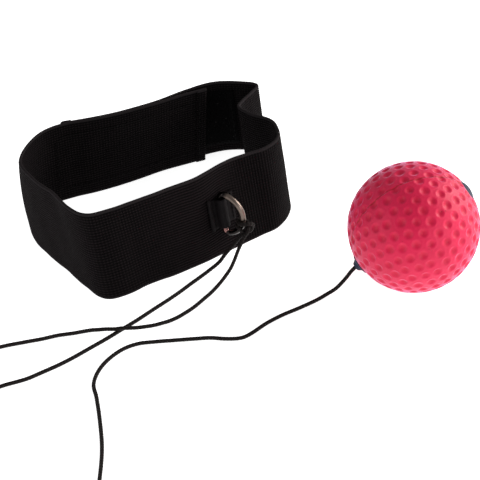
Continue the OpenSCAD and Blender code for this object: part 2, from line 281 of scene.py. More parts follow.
def knit_material(name, dark, light, edge):
    """Ribbed knitted elastic: ribs along the strap, with a stitch every course. Its right bend and left face
    are darkened with painted shade, and a painted highlight lies along its smooth edges.
    """
    n = Nodes(name)
    along, s, v = n.along()
    wander = (n.noise(along, 60.0, 2.0) - 0.5) * 0.0003
    ribs = (v - RIB_EDGE).wave(RIB)
    courses = (s + wander).wave(COURSE)
    by_tab = s.zone(*BY_TAB)
    right = s.zone(*RIGHT_BEND)
    left = s.zone(*LEFT_FACE)
    open_knit = 1.0 - left * 0.55
    course_share = 0.6 - by_tab * 0.42 + right * 0.28
    rib_share = 0.85 - right * 0.5
    stitch = ribs.faded(rib_share * open_knit) * courses.faded(course_share * open_knit)
    fibre = n.noise(along, 5200.0, 2.0)
    wear_and_painted_highlight = n.noise(along, 120.0, 4.0)
    tone = (stitch ** 1.9 * 1.05 + fibre * 0.15) * (wear_and_painted_highlight * 0.9 + 0.6)
    # The smooth selvage at both edges is painted lighter with the edge colour: a painted highlight.
    selvage_and_highlight = v.ramp(STRAP_W - SELVAGE_IN, STRAP_W - SELVAGE_OUT) + v.ramp(SELVAGE_IN, SELVAGE_OUT)
    # Painted shade: darkens the knit on the right bend and the left face.
    painted_side_shade = 1.0 - (right + left) * 0.32
    colour = n.mix((tone * painted_side_shade).clamped(), dark, light)
    colour = n.mix(selvage_and_highlight, colour, n.mix(fibre, dark, edge))
    height = (1.0 - selvage_and_highlight) * (stitch + fibre * 0.25)
    return n.set(Base_Color=colour, Roughness=fibre * 0.15 + 0.72, Specular_IOR_Level=0.04,
                 Sheen_Weight=0.010, Sheen_Roughness=0.4, Sheen_Tint=(0.9, 0.68, 0.76),
                 Normal=n.bump(height, 0.0003))


def pile_material(name, dark, light):
    """Loops and hooks of the closure, with a little pale lint."""
    n = Nodes(name)
    where = n.place()
    fuzz = n.noise(where, 2600.0, 4.0)
    patch = n.noise(where, 130.0, 3.0)
    lint = n.noise(where, 900.0, 1.0).ramp(0.72, 0.78)
    colour = n.mix((fuzz * (patch + 0.2)).clamped(), dark, light)
    colour = n.mix(lint * 0.3, colour, (0.12, 0.11, 0.11))
    return n.set(Base_Color=colour, Roughness=0.85, Specular_IOR_Level=0.04,
                 Sheen_Weight=0.008, Sheen_Roughness=0.5, Normal=n.bump(fuzz, 0.0002))


def thread_material(name, dark, light):
    """Twisted sewing thread."""
    n = Nodes(name)
    _, s, v = n.along()
    twist = (s + v * 1.4).wave(0.0004)
    return n.set(Base_Color=n.mix(twist, dark, light), Roughness=0.6, Specular_IOR_Level=0.06,
                 Sheen_Weight=0.008, Sheen_Roughness=0.4, Normal=n.bump(twist, 0.00008))


def tape_material(name, dark, light):
    """Close twill tape of the ring's tab."""
    n = Nodes(name)
    along, s, v = n.along()
    twill = (s + v * 0.8).wave(0.0006)
    rows = v.wave(0.0005)
    fibre = n.noise(along, 4000.0, 2.0)
    wear_and_painted_highlight = n.noise(along, 260.0, 3.0)
    colour = n.mix(((twill + fibre) * (wear_and_painted_highlight * 0.9)).clamped(), dark, light)
    height = twill * 0.6 + (rows * 0.4 + fibre * 0.3)
    return n.set(Base_Color=colour, Roughness=0.5, Specular_IOR_Level=0.06, Sheen_Weight=0.012,
                 Sheen_Roughness=0.4, Sheen_Tint=(0.9, 0.66, 0.76), Normal=n.bump(height, 0.00012))


def braid_material(name, dark, light):
    """Braided elastic cord: two sets of yarns crossing round it."""
    n = Nodes(name)
    along, s, v = n.along()
    turn = v * (4 / CORD_R)
    climb = s * (2 * math.pi / BRAID_PITCH)
    yarn = (turn + climb).cosine() * (turn - climb).cosine() * 0.5 + 0.5
    fibre = n.noise(along, 5000.0, 2.0)
    colour = n.mix((yarn * (fibre + 0.3)).clamped(), dark, light)
    return n.set(Base_Color=colour, Roughness=0.62, Specular_IOR_Level=0.12, Sheen_Weight=0.03,
                 Sheen_Roughness=0.4, Sheen_Tint=(0.85, 0.75, 0.68),
                 Normal=n.bump(yarn + fibre * 0.3, 0.0003))


def metal_material(name):
    """Dark nickel plate with fine scuffs, with a painted beige highlight on the outer bow and painted rose
    highlights by the bar's ends.
    """
    n = Nodes(name)
    where = n.place()
    scuff = n.noise(where, 900.0, 5.0)
    cloud = n.noise(where, 160.0, 3.0)
    _, share, _ = n.along()
    # Painted highlight: the outer bow is painted beige where it catches the light, and made rougher there.
    wear_and_painted_highlight = share.zone(*PAINTED_BOW_HIGHLIGHT)
    # Painted rose highlights: by the low bend and the bar's end beside it, and where the bow's beige
    # highlight begins.
    painted_rose_highlight = (share.zone(*PAINTED_ROSE_HIGHLIGHT) + (share.ramp(0.06, 0.03) + share.ramp(0.93, 0.97))).clamped()
    colour = n.mix(cloud.ramp(0.35, 0.65), (0.012, 0.010, 0.010), (0.022, 0.018, 0.017))
    colour = n.mix(wear_and_painted_highlight, colour, n.mix(cloud, (0.13, 0.10, 0.085), (0.20, 0.16, 0.135)))
    colour = n.mix(painted_rose_highlight, colour, (0.25, 0.13, 0.12))
    return n.set(Base_Color=colour, Metallic=1.0, Roughness=scuff * 0.14 + (wear_and_painted_highlight * 0.14 + 0.12),
                 Normal=n.bump(scuff, 0.00002))


def foam_material(name):
    """Moulded foam with a close skin: fine pores, darker specks, painted shade in the dimples, and a soft
    pale sheen.
    """
    n = Nodes(name)
    where = n.place()
    cloud = n.noise(where, 60.0, 4.0)
    grain = n.noise(where, 1500.0, 3.0)
    pores = Value(n, n.add("ShaderNodeTexVoronoi", Vector=where, Scale=420.0).outputs["Distance"])
    sparse = n.noise(where, 150.0, 2.0).ramp(0.56, 0.66)
    specks = (1.0 - pores.ramp(0.06, 0.16)).clamped() * sparse
    _, bowl, parting = n.along()
    colour = n.mix(cloud.ramp(0.3, 0.7), (0.56, 0.0030, 0.047), (0.64, 0.0050, 0.059))
    # Painted shade: the dimples' hollows are painted darker and deeper red.
    colour = n.mix(bowl * 0.45, colour, (0.50, 0.003, 0.024))
    colour = n.mix(parting, colour, (0.36, 0.001, 0.013))
    colour = n.mix(specks * 0.7, colour, (0.26, 0.002, 0.010))
    return n.set(Base_Color=colour, Roughness=grain * 0.12 + 0.46, Specular_IOR_Level=0.30,
                 Sheen_Weight=0.72, Sheen_Roughness=0.32, Sheen_Tint=(1.0, 0.60, 1.0),
                 Normal=n.bump(grain * 0.35 - specks, 0.00012))


def plastic_material(name, dark, light, roughness, gloss=0.5):
    """Moulded plastic with a fine grain."""
    n = Nodes(name)
    where = n.place()
    grain = n.noise(where, 1800.0, 3.0)
    cloud = n.noise(where, 200.0, 3.0)
    return n.set(Base_Color=n.mix(cloud, dark, light), Roughness=grain * 0.15 + roughness,
                 Specular_IOR_Level=gloss, Normal=n.bump(grain, 0.00005))


def floor_material(name):
    n = Nodes(name)
    cloud = n.noise(n.place(), 3.0, 3.0)
    return n.set(Base_Color=n.mix(cloud, (0.86, 0.86, 0.86), (0.89, 0.89, 0.89)), Roughness=0.85,
                 Specular_IOR_Level=0.2, Emission_Color=(1, 1, 1), Emission_Strength=0.88)


# The knit's third colour is the painted highlight along its edges.
KNIT = knit_material("knit", (0.0001, 0.0001, 0.0001), (0.0092, 0.0064, 0.0071), (0.027, 0.0225, 0.024))
LOOP_PILE = pile_material("loop_pile", (0.0012, 0.0009, 0.0010), (0.008, 0.007, 0.0075))
HOOK_TAPE = pile_material("hook_tape", (0.0003, 0.0002, 0.0002), (0.0022, 0.0018, 0.0019))
THREAD = thread_material("thread", (0.0004, 0.0003, 0.0003), (0.0030, 0.0022, 0.0024))
TAPE = tape_material("tab_tape", (0.0006, 0.0004, 0.0005), (0.0056, 0.0038, 0.0046))
BRAID = braid_material("cord_braid", (0.0008, 0.0005, 0.0004), (0.0150, 0.0100, 0.0090))
METAL = metal_material("ring_metal")
FOAM = foam_material("ball_foam")
NAVY = plastic_material("cap_plastic", (0.0045, 0.0105, 0.030), (0.0085, 0.0185, 0.046), 0.46, 0.2)
CLEAR = plastic_material("core_plastic", (0.50, 0.50, 0.49), (0.62, 0.62, 0.60), 0.4)
RUBBER = plastic_material("tie_rubber", (0.010, 0.010, 0.010), (0.022, 0.021, 0.021), 0.6)
FLOOR = floor_material("floor")


# ---------------------------------------------------------------- Mesh helpers
def to_object(name, points, faces, material, maps=None, smooth=True):
    """A mesh object. maps holds one (u, v) for each corner of each face."""
    mesh = bpy.data.meshes.new(name)
    mesh.from_pydata(np.asarray(points).tolist(), [], faces)
    mesh.polygons.foreach_set("use_smooth", [smooth] * len(mesh.polygons))
    if maps is not None:
        layer = mesh.uv_layers.new(name="along")
        layer.data.foreach_set("uv", np.asarray(maps, np.float32).ravel())
    mesh.materials.append(material)
    obj = bpy.data.objects.new(name, mesh)
    scene.collection.objects.link(obj)
    return obj


def skin(rings, maps):
    """Points, faces and face-corner maps of a closed skin over rings of points, its ends fans round a middle
    point. rings is (count, size, 3) and maps (count, size + 1, 2)."""
    count, size = rings.shape[:2]
    points = rings.reshape(-1, 3)
    i, k = (a.ravel() for a in np.meshgrid(np.arange(count - 1), np.arange(size), indexing="ij"))
    after = (k + 1) % size
    sides = np.stack([i * size + k, i * size + after, (i + 1) * size + after, (i + 1) * size + k], 1)
    corner = np.stack([maps[i, k], maps[i, k + 1], maps[i + 1, k + 1], maps[i + 1, k]], 1).reshape(-1, 2)
    faces, corners = sides.tolist(), [corner]
    for ring, way in ((0, -1), (count - 1, 1)):
        middle = len(points)
        points = np.vstack([points, rings[ring].mean(0)])
        for j in range(size):
            pair = [ring * size + j, ring * size + (j + 1) % size]
            ends = [maps[ring, j], maps[ring, j + 1]]
            faces.append([*pair[::way], middle])
            corners.append(np.array([*ends[::way], maps[ring].mean(0)]))
    return points, faces, np.vstack(corners)


def closed_grid(count, size):
    """Faces over count rings of size points, where the last ring joins the first."""
    faces = []
    for i in range(count):
        here, there = i * size, (i + 1) % count * size
        faces += [[here + k, here + (k + 1) % size, there + (k + 1) % size, there + k] for k in range(size)]
    return faces


def weld(obj):
    """Merges points that share a place, and turns the faces the right way out."""
    bm = bmesh.new()
    bm.from_mesh(obj.data)
    bmesh.ops.remove_doubles(bm, verts=bm.verts, dist=1e-6)
    bmesh.ops.recalc_face_normals(bm, faces=bm.faces)
    bm.to_mesh(obj.data)
    bm.free()


def skin_object(name, rings, maps, material, smooth=True):
    points, faces, corners = skin(np.asarray(rings, float), np.asarray(maps, float))
    obj = to_object(name, points, faces, material, corners, smooth)
    tidy_normals(obj)
    return obj


def tidy_normals(obj):
    """Turns a closed mesh the right way out."""
    mesh = obj.data
    count = len(mesh.polygons)
    co = np.zeros(len(mesh.vertices) * 3)
    mesh.vertices.foreach_get("co", co)
    co = co.reshape(-1, 3)
    centre, normal, area = np.zeros(count * 3), np.zeros(count * 3), np.zeros(count)
    mesh.polygons.foreach_get("center", centre)
    mesh.polygons.foreach_get("normal", normal)
    mesh.polygons.foreach_get("area", area)
    if ((centre.reshape(-1, 3) - co.mean(0)) * normal.reshape(-1, 3)).sum(1) @ area < 0:
        mesh.flip_normals()


def joined(name, parts, material):
    """One object out of several skins, each given as (points, faces, corners)."""
    points, faces, corners, base = [], [], [], 0
    for p, f, c in parts:
        points.append(p)
        faces.extend([[base + i for i in face] for face in f])
        corners.append(c)
        base += len(p)
    return to_object(name, np.vstack(points), faces, material, np.vstack(corners))


def unit(v):
    return v / np.linalg.norm(v, axis=-1, keepdims=True)


def hermite(points, per_span):
    """Smooth curve through the points, with the same rule as the CAD model's curves."""
    p = np.asarray(points, float)
    heading = unit(np.vstack([p[1] - p[0], p[2:] - p[:-2], p[-1] - p[-2]]))
    u = np.linspace(0, 1, per_span, endpoint=False)[:, None]
    spans = []
    for a, b, da, db in zip(p[:-1], p[1:], heading[:-1], heading[1:]):
        chord = np.linalg.norm(b - a)
        spans.append(a * (2 * u**3 - 3 * u**2 + 1) + b * (3 * u**2 - 2 * u**3)
                     + chord * (da * (u**3 - 2 * u**2 + u) + db * (u**3 - u**2)))
    return np.vstack([*spans, p[-1:]])


def lengths(path):
    return np.concatenate([[0], np.cumsum(np.linalg.norm(np.diff(path, axis=0), axis=1))])


def even(path, step):
    """The path again, with points a step apart."""
    s = lengths(path)
    at = np.linspace(0, s[-1], max(2, round(s[-1] / step) + 1))
    return np.stack([np.interp(at, s, path[:, k]) for k in range(3)], 1)


def carried_frames(path):
    """Two directions across the path at each point, carried along it without twist."""
    tangent = unit(np.gradient(path, axis=0))
    first = np.cross(tangent[0], (0, 0, 1) if abs(tangent[0][2]) < 0.9 else (1, 0, 0))
    across = [first / np.linalg.norm(first)]
    for t in tangent[1:]:
        v = across[-1] - t * (across[-1] @ t)
        across.append(v / np.linalg.norm(v))
    across = np.array(across)
    return tangent, across, np.cross(tangent, across)


def tube(path, radius, sides=16, braid=0.0, round_ends=True):
    """Rings and maps of a tube along the path. braid is the depth of its yarns' relief."""
    path = np.asarray(path, float)
    s = lengths(path)
    tangent, across, other = carried_frames(path)
    turn = np.linspace(0, 2 * math.pi, sides + 1)
    round_it = turn[None, :-1, None]
    size = np.full((len(path), sides + 1), float(radius))
    climb = 2 * math.pi * s[:, None] / BRAID_PITCH
    size -= braid * (0.5 - 0.5 * np.cos(4 * turn + climb) * np.cos(4 * turn - climb))
    rings = path[:, None] + size[:, :-1, None] * (np.cos(round_it) * across[:, None]
                                                  + np.sin(round_it) * other[:, None])
    maps = np.stack(np.broadcast_arrays(s[:, None], turn * radius), -1)
    if round_ends:
        first, last = [], []
        for share, shrink in ((1.0, 0.25), (0.75, 0.66), (0.4, 0.92)):
            first.append(path[0] + (rings[0] - path[0]) * shrink - tangent[0] * radius * share * 0.7)
            last.append(path[-1] + (rings[-1] - path[-1]) * shrink + tangent[-1] * radius * share * 0.7)
        rings = np.concatenate([first, rings, last[::-1]])
        maps = np.concatenate([[maps[0]] * 3, maps, [maps[-1]] * 3])
    return rings, maps


def arc_points(centre, radius, start, stop, count):
    a = np.linspace(start, stop, count)
    return np.stack([centre[0] + radius * np.cos(a), centre[1] + radius * np.sin(a)], 1)


# ---------------------------------------------------------------- Camera
CAMERA_AT = Vector((-0.0011, -0.5489, 0.402))
CAMERA_PITCH = math.radians(36.5)
CAMERA_ROLL = math.radians(-5.5)
CAMERA_LENS = 97.5


def add_camera():
    data = bpy.data.cameras.new("camera")
    data.lens, data.sensor_width = CAMERA_LENS, 36.0
    data.clip_start, data.clip_end = 0.05, 20
    camera = bpy.data.objects.new("camera", data)
    scene.collection.objects.link(camera)
    pitched = Matrix.Rotation(math.pi / 2 - CAMERA_PITCH, 4, "X")
    camera.matrix_world = Matrix.Translation(CAMERA_AT) @ pitched @ Matrix.Rotation(CAMERA_ROLL, 4, "Z")
    scene.camera = camera


add_camera()


# ---------------------------------------------------------------- Ring frame and hitch
def bar_frame(turn):
    """Frame at the middle of the ring's bar: z along the bar, x away from it at that turn."""
    return (Matrix.Translation(BAR_AT) @ Matrix.Rotation(BAR_LEAN, 4, "Y") @ Matrix.Rotation(BAR_LEAN, 4, "X")
            @ Matrix.Rotation(turn, 4, "Z"))


RING_FRAME = bar_frame(RING_TURN)
ring_axes = RING_FRAME.to_3x3()
hitch_up = ring_axes @ Vector((-math.sin(HITCH_TURN), 0, math.cos(HITCH_TURN)))
hitch_at = RING_FRAME @ (RING_R * Vector((math.cos(HITCH_TURN), 0, math.sin(HITCH_TURN))))
HANG = Vector((-0.18, -0.28, -0.94))
hitch_near = (HANG - HANG.dot(hitch_up) * hitch_up).normalized()
hitch_right = hitch_up.cross(hitch_near).normalized()


def at_hitch(up, near, right):
    """A point by the hitch, in millimetres from the wire's middle: up it, to the viewer, to the right."""
    return np.array(hitch_at + (hitch_up * up + hitch_near * near + hitch_right * right) * 0.001)


# Half of the hitch, from an end under the bight, round the wire, to the middle of the bight
HALF_HITCH = (
    (1.0, 2.2, 2.5), (1.0, 0, 2.5), (1.0, -1.77, 1.77), (1.0, -2.5, 0), (1.05, -1.77, -1.77), (1.1, 0, -2.5),
    (1.5, 1.9, -1.9), (2.4, 2.9, 0), (3.0, 3.0, 2.0), (2.4, 2.6, 3.9), (1.2, 2.3, 4.6),
)
upper_half = [at_hitch(*p) for p in HALF_HITCH]
lower_half = [at_hitch(-up, near, right) for up, near, right in HALF_HITCH]
hitch_path = upper_half + [at_hitch(0, 2.2, 4.75)] + lower_half[::-1]
# The first points of the two strands, below the bight
LEAVE_A = ((1.0, 1.2, 2.5), (0.6, 3.4, 2.3), (-1.2, 5.0, 1.6), (-3.8, 5.3, 0.6))
LEAVE_B = ((-1.0, 1.2, 2.5), (-1.5, 2.6, 2.2), (-3.4, 3.3, 1.2), (-5.6, 3.2, -0.6))


# ---------------------------------------------------------------- Cord
def coil_path():
    """Three turns inward, then two and a half outward on top, each stepping across in its last sixth."""
    per_turn, step_share = 72, 1 / 6
    radii = [COIL_MIDDLE_R + k * 2 * CORD_R for k in (1, 0, -1, -1, 0, 1)]
    low, high = COIL_LOW + CORD_R, COIL_LOW + 3 * CORD_R
    heights = [low, low, low, high, high, high]
    points = []
    for turn in range(6):
        for k in range(per_turn):
            if turn == 5 and k > per_turn // 2:
                break
            u = max(0.0, (k / per_turn - (1 - step_share)) / step_share)
            u = u * u * (3 - 2 * u)
            after = min(turn + 1, 5)
            r = radii[turn] + (radii[after] - radii[turn]) * u
            z = heights[turn] + (heights[after] - heights[turn]) * u
            a = -2 * math.pi * k / per_turn
            points.append((COIL_AT.x + r * math.cos(a), COIL_AT.y + r * math.sin(a), z))
    return np.array(points)


CORD_STEP = 0.0005
BRAID_DEPTH = 0.00014


def cord_object(name, route):
    path = even(route, CORD_STEP)
    rings, maps = tube(path, CORD_R, braid=BRAID_DEPTH)
    return skin_object(name, rings, maps, BRAID), path


def knot_object():
    """A tight overhand knot: a three-lobed loop drawn out along its axis."""
    frame_at = Matrix.Translation(KNOT_AT) @ Matrix.Rotation(KNOT_TURN, 4, "Z")
    half_l, half_w, half_h = 0.00112, 0.00066, 0.00150
    t = np.linspace(0, 2 * math.pi, 161)
    x = (np.cos(t) - 2 * np.cos(2 * t)) * half_l
    y = (np.sin(t) + 2 * np.sin(2 * t)) * half_w
    z = -np.sin(3 * t) * half_h
    path = np.array([frame_at @ Vector(p) for p in np.stack([x, y, z], 1)])
    path[:, 2] += CORD_R - path[:, 2].min()
    rings, maps = tube(path, CORD_R, braid=BRAID_DEPTH, round_ends=False)
    return skin_object("loop_knot_wraps", rings, maps, BRAID)


cord_knot = knot_object()
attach(cord_knot, "headband")
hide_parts("loop_knot")


TIE_GAP = 0.0005
TIE_CORNER = 0.0006
# Cross-section of the rubber band, as shares of its thickness and its width
TIE_SECTION = ((0, -0.5), (0.25, -0.5), (0.5, -0.3), (0.5, 0), (0.5, 0.3), (0.25, 0.5), (0, 0.5), (-0.1, 0))


def tie_object():
    """Rubber band round the coil."""
    half = 3 * CORD_R + TIE_GAP - TIE_CORNER
    high = 2 * CORD_R + TIE_GAP - TIE_CORNER
    profile = []
    for cx, cz, start in ((1, 1, 0), (-1, 1, 90), (-1, -1, 180), (1, -1, 270)):
        for a in np.radians(start + 22.5 * np.arange(5)):
            profile.append((cx * half + TIE_CORNER * math.cos(a), cz * high + TIE_CORNER * math.sin(a)))
    middle = COIL_AT + Vector((0, 0, COIL_LOW + 2 * CORD_R))
    turn = Matrix.Translation(middle) @ Matrix.Rotation(TIE_TURN, 4, "Z")
    thick = TIE_T * 0.9
    rings = []
    for (px, pz), (qx, qz), (rx, rz) in zip(np.roll(profile, 1, 0), profile, np.roll(profile, -1, 0)):
        out = Vector((rz - pz, px - rx)).normalized() * thick
        rings.append([turn @ Vector((COIL_MIDDLE_R + qx + out.x * t, w * TIE_W, qz + out.y * t))
                      for t, w in TIE_SECTION])
    rings = np.array(rings)
    count, size = rings.shape[:2]
    faces = closed_grid(count, size)
    marks = np.array([(i * 0.001, k * TIE_W / size) for i in range(count) for k in range(size)])
    obj = to_object("coil_band", rings.reshape(-1, 3), faces, RUBBER, marks[np.array(faces).ravel()])
    weld(obj)
    return obj


coil_band = tie_object()
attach(coil_band, "headband")
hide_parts("coil_tie")

ball_route = hermite([*BALL_CORD, *coil_path()[::6].tolist(), *KNOT_LEAD, tuple(KNOT_AT)], 10)
cord, path = cord_object("cord_from_ball", ball_route)
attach(cord, "headband")
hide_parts("ball_cord", "cord_coil", "knot_lead")

for name, leave, strand, node in (("cord_strand_a", LEAVE_A, STRAND_A, "loop_strand_a"),
                                  ("cord_strand_b", LEAVE_B, STRAND_B, "loop_strand_b")):
    route = hermite([*(at_hitch(*p) for p in leave), *strand[1:], tuple(KNOT_AT)][::-1], 10)
    cord, path = cord_object(name, route)
    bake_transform(cord)
    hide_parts(node)

hitch_rings, hitch_maps = tube(even(hermite(hitch_path, 10), 0.0003), CORD_R, braid=BRAID_DEPTH)
hitch = skin_object("cord_hitch", hitch_rings, hitch_maps, BRAID)
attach(hitch, "ring")
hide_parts("ring_hitch")


# ---------------------------------------------------------------- D-ring
def d_path():
    """The ring's wire: a straight bar and a half-round bow, with small bends between them."""
    bend = 0.002
    flat = RING_R - bend
    middle = (bend, -math.sqrt(flat**2 - bend**2))
    lean = math.atan2(middle[1], middle[0])
    bow = arc_points((0, 0), RING_R, lean, -lean, 61)
    low = arc_points(middle, bend, math.pi, 2 * math.pi + lean, 13)
    high = low[::-1] * (1, -1)
    bar = np.stack([np.zeros(25), np.linspace(high[-1][1], low[0][1], 25)], 1)
    loop = np.vstack([low[:-1], bow[:-1], high[:-1], bar[:-1]])
    return np.array([RING_FRAME @ Vector((x, 0, z)) for x, z in loop])


def closed_tube(name, loop, radius, sides, material):
    """A tube along a closed flat loop of points, with a map of the shares of the way along and round it."""
    tangent = unit(np.roll(loop, -1, 0) - np.roll(loop, 1, 0))
    side = np.array(ring_axes @ Vector((0, 1, 0)))
    other = unit(np.cross(tangent, side))
    turn = np.linspace(0, 2 * math.pi, sides, endpoint=False)[None, :, None]
    rings = loop[:, None] + radius * (np.cos(turn) * side + np.sin(turn) * other[:, None])
    count = len(loop)
    maps = [(a / count, b / sides) for i in range(count) for k in range(sides)
            for a, b in ((i, k), (i, k + 1), (i + 1, k + 1), (i + 1, k))]
    obj = to_object(name, rings.reshape(-1, 3), closed_grid(count, sides), material, maps)
    weld(obj)
    return obj


d_ring = closed_tube("d_ring_wire", d_path(), WIRE_R, 24, METAL)
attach(d_ring, "ring")
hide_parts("d_ring")


# ---------------------------------------------------------------- Strap
def strap_plan():
    """The strap's plan as (stations, points)."""
    plan = np.array(STRAP_FREE)
    outer = []
    for i in OVERLAP:
        shift = []
        for k in (0, 2):
            t = unit(plan[i + 1, k:k + 2] - plan[i - 1, k:k + 2])
            shift += [t[1], -t[0]]
        outer.append(plan[i] + LAYER_STEP * np.array(shift))
    line = hermite(np.vstack([plan, outer]), 16)
    middle = (line[:, :2] + line[:, 2:]) / 2
    return lengths(middle), line


STATION, LINE = strap_plan()
STRAP_L = float(STATION[-1])
FLAP_REACH = 0.0025


def on_strap(s, out, across):
    """Points of the strap: s along it, out from its middle, and across from its lower edge."""
    s, out, across = np.broadcast_arrays(s, out, across)
    h = (across / STRAP_W)[..., None]
    reach = 0.0008

    def plan_at(stations):
        p = np.stack([np.interp(stations, STATION, LINE[:, k]) for k in range(4)], -1)
        return p[..., :2] * (1 - h) + p[..., 2:] * h

    near = np.clip(s, reach, STRAP_L - reach)
    t = unit(plan_at(near + reach) - plan_at(near - reach))
    lean = np.stack([np.interp(s, STATION, LINE[:, 2 + k] - LINE[:, k]) for k in range(2)], -1)
    rise = across / STRAP_W * np.sqrt(STRAP_W**2 - (lean**2).sum(-1))
    beyond = np.minimum(s, 0)[..., None] + np.maximum(s - STRAP_L, 0)[..., None]
    flat = plan_at(s) + np.stack([t[..., 1], -t[..., 0]], -1) * out[..., None] + t * beyond
    return np.concatenate([flat, rise[..., None]], -1)


RIB_COUNT = 32
RIB_DEPTH = 0.00022
TAB_STATION = 0.2595


def round_edges(low, high, half):
    """The rounded upper and lower edge of a strip's cross-section, as (across, off) points."""
    turn = np.radians(np.linspace(-90, 90, 7)[1:-1])
    upper = [(high - half + half * math.cos(a), -half * math.sin(a)) for a in turn]
    lower = [(low + half - half * math.cos(a), half * math.sin(a)) for a in turn]
    return upper, lower


def section(thick):
    """Cross-section of the elastic as (across, off, dip) points, up its front and down its back. dip is 0 on
    a rib and 1 between two."""
    half = thick / 2
    ribs = np.arange(3 * RIB_COUNT + 1) * RIB / 3 + RIB_EDGE
    front = [(v, half, 0.0 if k % 3 == 0 else 1.0) for k, v in enumerate(ribs)]
    back = [(v, -half, dip) for v, _, dip in front[::-1]]
    upper, lower = round_edges(0, STRAP_W, half)
    return np.array(front + [(*p, 0) for p in upper] + back + [(*p, 0) for p in lower])


def window(s, start, end, soft):
    """1 between start and end, and 0 outside them, with a straight slope of length soft inside each."""
    return np.clip((s - start) / soft, 0, 1) * np.clip((end - s) / soft, 0, 1)


def ripple(s, v):
    """Soft unevenness of the cloth, none where the two layers meet."""
    waves = (0.5 * np.sin(s * 190 + 0.8) * np.sin(v * 95 + 0.4) + 0.35 * np.sin(s * 330 + v * 120 + 2.0)
             + 0.15 * np.sin(s * 610 - v * 260 + 1.1))
    return 0.00022 * waves * window(s, 0.1, 0.372, 0.03)


def barrel(s, v):
    """How far the strap stands out of its plan: a bulge at the left fold, a lean at front and right."""
    h = np.clip(v / STRAP_W, 0, 1)
    fold_at, fold_wide = 0.123, 0.032
    fold = np.exp(-((s - fold_at) / fold_wide) ** 2) * (0.0011 * np.sin(np.pi * h) - 0.0005 * h**3)
    front = 0.0006 * (1 - h) * window(s, 0.135, 0.238, 0.02)
    right = (0.0005 * h - 0.0008 * (1 - h)) * window(s, 0.276, 0.335, 0.02)
    return fold + front + right


FLAP_DIP = 0.034
FLAP_CORNER = 0.0022


def flap_height(s):
    """Share of the strap's height left on the flap, which dips towards its end and has a rounded corner."""
    u = np.clip((s - 0.385) / 0.07, 0, 1)
    last = np.clip((s - (STRAP_L + FLAP_REACH - FLAP_CORNER)) / FLAP_CORNER, 0, 0.98)
    return 1 - FLAP_DIP * u * u * (3 - 2 * u) - (1 - np.sqrt(1 - last**2)) * FLAP_CORNER / STRAP_W


def rib_sway(s, v):
    """How far the ribs wander up or down, most beside the sewn tab."""
    inside = np.sin(np.pi * np.clip(v / STRAP_W, 0, 1))
    near = np.exp(-((s - TAB_STATION) / 0.022) ** 2)
    wide = 0.00035 * np.sin(s * 120 + 1.0) + 0.0002 * np.sin(s * 310 + 2.2)
    return inside * (wide + 0.0011 * near * np.sin((s - TAB_STATION) * 150 + 0.6))


def across_route(route):
    """Unit directions square to a flat route, on its left."""
    t = unit(np.gradient(route, axis=0))
    return np.stack([-t[:, 1], t[:, 0]], 1)


def elastic(name, route, thickness, material):
    """Elastic along a route of (station, out) points, with a thickness at each."""
    route = np.asarray(route, float)
    rings, maps = [], []
    for (s, out), n, thick, at in zip(route, across_route(route), thickness, lengths(route)):
        v, off, dip = section(thick).T
        off = off - np.sign(off) * dip * RIB_DEPTH
        across = (v + rib_sway(s, v)) * flap_height(s)
        rings.append(on_strap(s + n[0] * off, out + n[1] * off + ripple(s, v) + barrel(s, v), across))
        maps.append(np.stack([np.full(len(v) + 1, at), np.append(v, v[0])], 1))
    return skin_object(name, np.array(rings), np.array(maps), material)


def steps(a, b, step):
    return np.linspace(a, b, max(2, round((b - a) / step) + 1))


SEAM_AT = 0.3762
HEM_OUT = 0.00088
HEM_THICK = 0.00105
FOLD_END = 0.0014
FOLD_OFF = 0.0002
COURSE_STEP = 0.00087


def band_routes():
    """Routes and thicknesses of the main length, with its inner hem, and of the flap, with its outer hem."""
    radius = (HEM_OUT + FOLD_OFF) / 2
    middle = (FOLD_OFF - HEM_OUT) / 2
    last = STRAP_L + FLAP_REACH - FOLD_END
    half_turn = np.linspace(0, math.pi, 11)[1:]

    def off(away):
        return FOLD_OFF * math.exp(-away / 0.002)

    def thick(away):
        return STRAP_T - (STRAP_T - HEM_THICK) * math.exp(-away / 0.0015)

    hem = [(s, -HEM_OUT) for s in steps(FOLD_END, HEM_L, COURSE_STEP)[::-1]]
    hem += [(FOLD_END - radius * math.sin(a), middle - radius * math.cos(a)) for a in half_turn]
    body = [(s, off(s - FOLD_END)) for s in steps(FOLD_END, SEAM_AT, COURSE_STEP)[1:]]
    main = hem + body
    main_t = [HEM_THICK] * len(hem) + [thick(s - FOLD_END) for s, _ in body]
    body = [(s, -off(last - s)) for s in steps(SEAM_AT, last, COURSE_STEP)]
    hem = [(last + radius * math.sin(a), -middle - radius * math.cos(a)) for a in half_turn]
    hem += [(s, HEM_OUT) for s in steps(STRAP_L + FLAP_REACH - HEM_L, last, COURSE_STEP)[::-1][1:]]
    flap_t = [thick(last - s) for s, _ in body] + [HEM_THICK] * len(hem)
    return main, main_t, body + hem, flap_t


main_route, main_thick, flap_route, flap_thick = band_routes()

band = elastic("band", main_route, main_thick, KNIT)
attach(band, "headband")
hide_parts("elastic_band", "inner_end_hem")

flap = elastic("band_flap", flap_route, flap_thick, KNIT)
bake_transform(flap)
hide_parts("band_tail", "tail_hem")


# ---------------------------------------------------------------- Closure patches
LOOP_BASE = PATCH_T - 0.0003
HOOK_BASE = PATCH_T - 0.0004
BRISTLE_R = 0.00007


